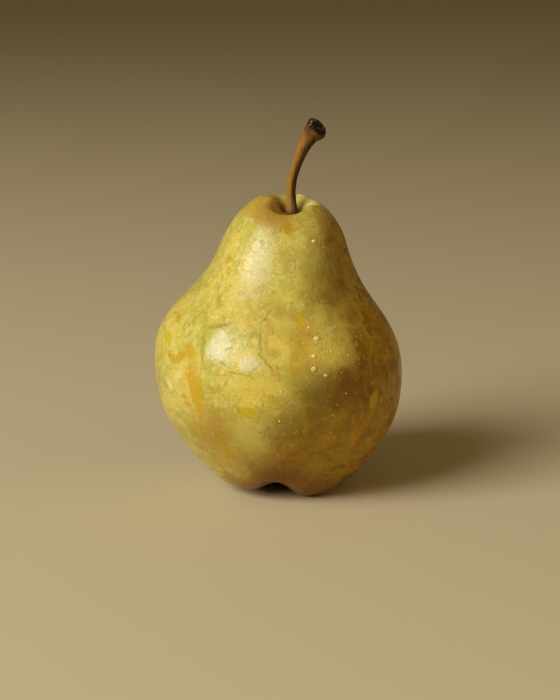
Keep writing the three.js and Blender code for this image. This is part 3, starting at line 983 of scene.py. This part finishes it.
# painted light and shade along the stem: golden on its lit left, dusky on its shaded right
for x, y, z, _ in STEM_ROUTE[2:9]:
    lit_side_painted = blotch(bark, (x - 1.5, y - 0.9, z), (1.2, 1.6, 3.0), 14, bark.place, 0.9)
    bark_colour = bark.tint(bark_colour, colour(164, 124, 34), lit_side_painted, 0.6)
    shade_side_painted = blotch(bark, (x + 1.5, y + 0.3, z), (1.5, 2.4, 3.4), 14, bark.place, 0.7)
    bark_colour = bark.tint(bark_colour, colour(56, 24, 5), shade_side_painted, 0.75)
foot = blotch(bark, (3.0, -3.6, 89.4), (2.0, 2.6, 3.0), 0, bark.place, 0.8)
bark_colour = bark.tint(bark_colour, colour(172, 132, 74), foot, 0.6)
broken = shaken(bark, 0.8, 1.0)
rim = blotch(bark, (9.7, -3.0, 114.7), (2.4, 3.0, 2.4), 0, broken, 0.5)
bark_colour = bark.tint(bark_colour, colour(80, 54, 28), rim, 0.75)
face = blotch(bark, (13.1, -4.6, 116.5), (4.6, 4.6, 4.6), 0, broken, 0.14)
bark_colour = bark.tint(bark_colour, colour(20, 12, 7), face, 0.95)
chips = flakes(bark, 0.55, 0.74, 0.9, broken)
near_rim = blotch(bark, (10.7, -4.2, 116.9), (3.2, 3.0, 1.6), 0, broken, 0.6)
chip_share = bark.combine("MULTIPLY_ADD", near_rim, 0.6, bark.combine("MULTIPLY", face, 0.2))
bark_colour = bark.tint(bark_colour, colour(176, 160, 136), chips, chip_share)
bark.feed(bark.shader.inputs["Base Color"], bark_colour)
bark.shader.inputs["Specular IOR Level"].default_value = 0.25
bark.feed(bark.shader.inputs["Roughness"], bark.combine("MULTIPLY_ADD", streaks, 0.3, 0.5))
bark_relief = bark.bump(streaks, 0.22)
bark_relief = bark.bump(flecks, 0.08, bark_relief)
bark.feed(bark.shader.inputs["Normal"], bark.bump(bark.noise(0.22, detail=2), 0.05, bark_relief))
stem.data.materials.append(bark.material)
print("nodes in the bark:", len(bark.tree.nodes))

# %% [markdown]
# ## The calyx
#
# Underneath, the withered flower is still there: five stiff sepals curled round a tuft of dry
# stamens, on a small cushion rooted in the fruit. The cushion is a ring extruded down and drawn
# in. One sepal is modelled flat on a strip of faces, row by row, then thickened, and copied
# round; one stamen likewise.

# %% Cushion
CALYX_MIDDLE = Vector((1.0, 0, 0))
CUSHION = [
    # radius and height, in mm, from the root down
    (2.1, 8.8),
    (2.25, 7.0),
    (2.5, 6.3),
    (2.35, 5.7),
    (1.8, 5.3),
    (1.3, 5.5),
    (0.8, 5.9),
]

deselect_all()
radius, height = CUSHION[0]
root = (CALYX_MIDDLE + Vector((0, 0, height))) * MM
bpy.ops.mesh.primitive_circle_add(vertices=20, radius=radius * MM, fill_type="NGON", location=root)
calyx_cup = name_it("calyx_cup")
raise_rings(calyx_cup, CUSHION, CALYX_MIDDLE.x)
bpy.ops.mesh.select_all(action="SELECT")
bpy.ops.mesh.normals_make_consistent(inside=False)
bpy.ops.object.mode_set(mode="OBJECT")
subdivide(calyx_cup, 2)
uneven(calyx_cup, "cushion lumps", 0.9, 0.25)
apply_modifiers(calyx_cup)
bpy.ops.object.shade_smooth()
print("faces of the cushion:", len(calyx_cup.data.polygons))

# %% One sepal
SEPAL_WALL = 0.45
SEPAL_ROUTE = [
    # out from the middle, height and half width, in mm
    (1.3, 5.9, 1.3),
    (2.7, 5.1, 1.45),
    (3.9, 4.3, 1.15),
    (4.9, 3.2, 0.75),
    (5.3, 2.3, 0.2),
]
rows = stations(SEPAL_ROUTE, [2] * (len(SEPAL_ROUTE) - 1))
deselect_all()
bpy.ops.mesh.primitive_grid_add(x_subdivisions=4, y_subdivisions=1, size=2 * MM)
sepal = name_it("sepal")
edit(sepal)
for line, droop in ((1.0, -0.38), (0.5, -0.1)):
    pick(sepal, lambda p, _: abs(abs(p.x) - line) < 0.1)
    bpy.ops.transform.translate(value=(0, 0, droop * MM))
pick(sepal, lambda p, _: p.y > 0)
bpy.ops.mesh.delete(type="VERT")
bpy.ops.mesh.select_all(action="SELECT")
bpy.ops.transform.translate(value=(0, (1 - rows[0][0]) * MM, rows[0][1] * MM))
bpy.ops.transform.resize(value=(rows[0][2], 1, rows[0][2]), center_override=(0, 0, rows[0][1] * MM))
for (out, height, half), (next_out, next_height, next_half) in zip(rows, rows[1:]):
    step_out = Vector((0, out - next_out, next_height - height)) * MM
    bpy.ops.mesh.extrude_region_move(TRANSFORM_OT_translate={"value": step_out})
    grow = next_half / half
    middle = (0, -next_out * MM, next_height * MM)
    bpy.ops.transform.resize(value=(grow, 1, grow), center_override=middle)
bpy.ops.mesh.select_all(action="SELECT")
bpy.ops.mesh.normals_make_consistent(inside=False)
bpy.ops.object.mode_set(mode="OBJECT")
wall = sepal.modifiers.new("wall", "SOLIDIFY")
wall.thickness = SEPAL_WALL * MM
wall.offset = 0
subdivide(sepal, 2)
uneven(sepal, "withered", 1.2, 0.4)
apply_modifiers(sepal)
bpy.ops.object.shade_smooth()
print("faces of a sepal:", len(sepal.data.polygons))

# %% One stamen, with its dried head
STAMEN_SIDES = 7
STAMEN = [
    # sideways and down, in mm, and how much wider each length gets
    (0.05, 0.7, 0.8),
    (0.16, 0.6, 0.85),
    (0.25, 0.45, 1.0),
    (0.1, 0.12, 2.1),  # head
    (0.1, 0.3, 1.0),
    (0.0, 0.1, 0.4),
]

deselect_all()
bpy.ops.mesh.primitive_circle_add(vertices=STAMEN_SIDES, radius=0.2 * MM, fill_type="NGON")
stamen = name_it("stamen")
edit(stamen)
bpy.ops.mesh.select_all(action="SELECT")
for sideways, down, share in STAMEN:
    bpy.ops.mesh.extrude_region_move(TRANSFORM_OT_translate={"value": (0, -sideways * MM, -down * MM)})
    ends = [v.co for v in bmesh.from_edit_mesh(stamen.data).verts if v.select]
    end = sum(ends, Vector()) / STAMEN_SIDES
    bpy.ops.transform.resize(value=(share, share, 1), center_override=end)
bpy.ops.mesh.select_all(action="SELECT")
bpy.ops.mesh.normals_make_consistent(inside=False)
bpy.ops.object.mode_set(mode="OBJECT")
subdivide(stamen, 1)
apply_modifiers(stamen)
bpy.ops.object.shade_smooth()
print("faces of a stamen:", len(stamen.data.polygons))

# %% Copy them round
SEPAL_TURNS = (8, 76, 153, 221, 296)  # degrees from the front, not quite even
STAMENS = 13
STAMEN_ROOTS = 5.6  # height, inside the cushion
CALYX_SEED = 20
AS_IT_IS = (1, 1, 1)


def turned(*degrees):
    return [math.radians(angle) for angle in degrees]


draw = random.Random(CALYX_SEED)
settings = [(CALYX_MIDDLE * MM, turned(draw.uniform(-6, 2), 0, turn), AS_IT_IS) for turn in SEPAL_TURNS]
sepals = copies_of(sepal, settings, "sepals")
settings = []
for number in range(STAMENS):
    turn = 360 * number / STAMENS + draw.uniform(-10, 10)
    out = draw.uniform(0.4, 1.3)
    foot = Vector((out * math.sin(math.radians(turn)), -out * math.cos(math.radians(turn)), STAMEN_ROOTS))
    tilted = turned(draw.uniform(-12, 10), draw.uniform(-10, 10), turn)
    settings.append(((CALYX_MIDDLE + foot) * MM, tilted, AS_IT_IS))
stamens = copies_of(stamen, settings, "stamens")
print("sepals:", len(SEPAL_TURNS), "stamens:", STAMENS)

# %% Dry finish of the calyx
withered = Finish("withered calyx")
drift = withered.noise(1.1, detail=4, rough=0.65)
dusty = withered.window(withered.noise(0.5, detail=3), 0.5, 0.68)
dry_colour = withered.tint(colour(74, 50, 28), colour(38, 25, 15), withered.window(drift, 0.4, 0.62))
dry_colour = withered.tint(dry_colour, colour(140, 116, 82), dusty, 0.4)
withered.feed(withered.shader.inputs["Base Color"], dry_colour)
withered.feed(withered.shader.inputs["Roughness"], withered.combine("MULTIPLY_ADD", drift, 0.2, 0.7))
withered.feed(withered.shader.inputs["Normal"], withered.bump(drift, 0.12))
for piece in (calyx_cup, sepals, stamens):
    piece.data.materials.append(withered.material)
print("nodes in the withered finish:", len(withered.tree.nodes))

# %% [markdown]
# ## Put the pieces on the measured model
#
# Each new piece rides on the model's one body. The skin, the stem and the calyx stand for the
# three measured solids, which are then hidden. The dressed pear has to stay inside the
# measured one's box.

# %% Ride, and hide the measured solids
for piece, slot in (
    (skin, "skin"),
    (lenticels, "skin"),
    (stem, "stem"),
    (calyx_cup, "calyx"),
    (sepals, "calyx"),
    (stamens, "calyx"),
):
    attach(piece, "root")
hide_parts("fruit")
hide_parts("stem")
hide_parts("calyx")
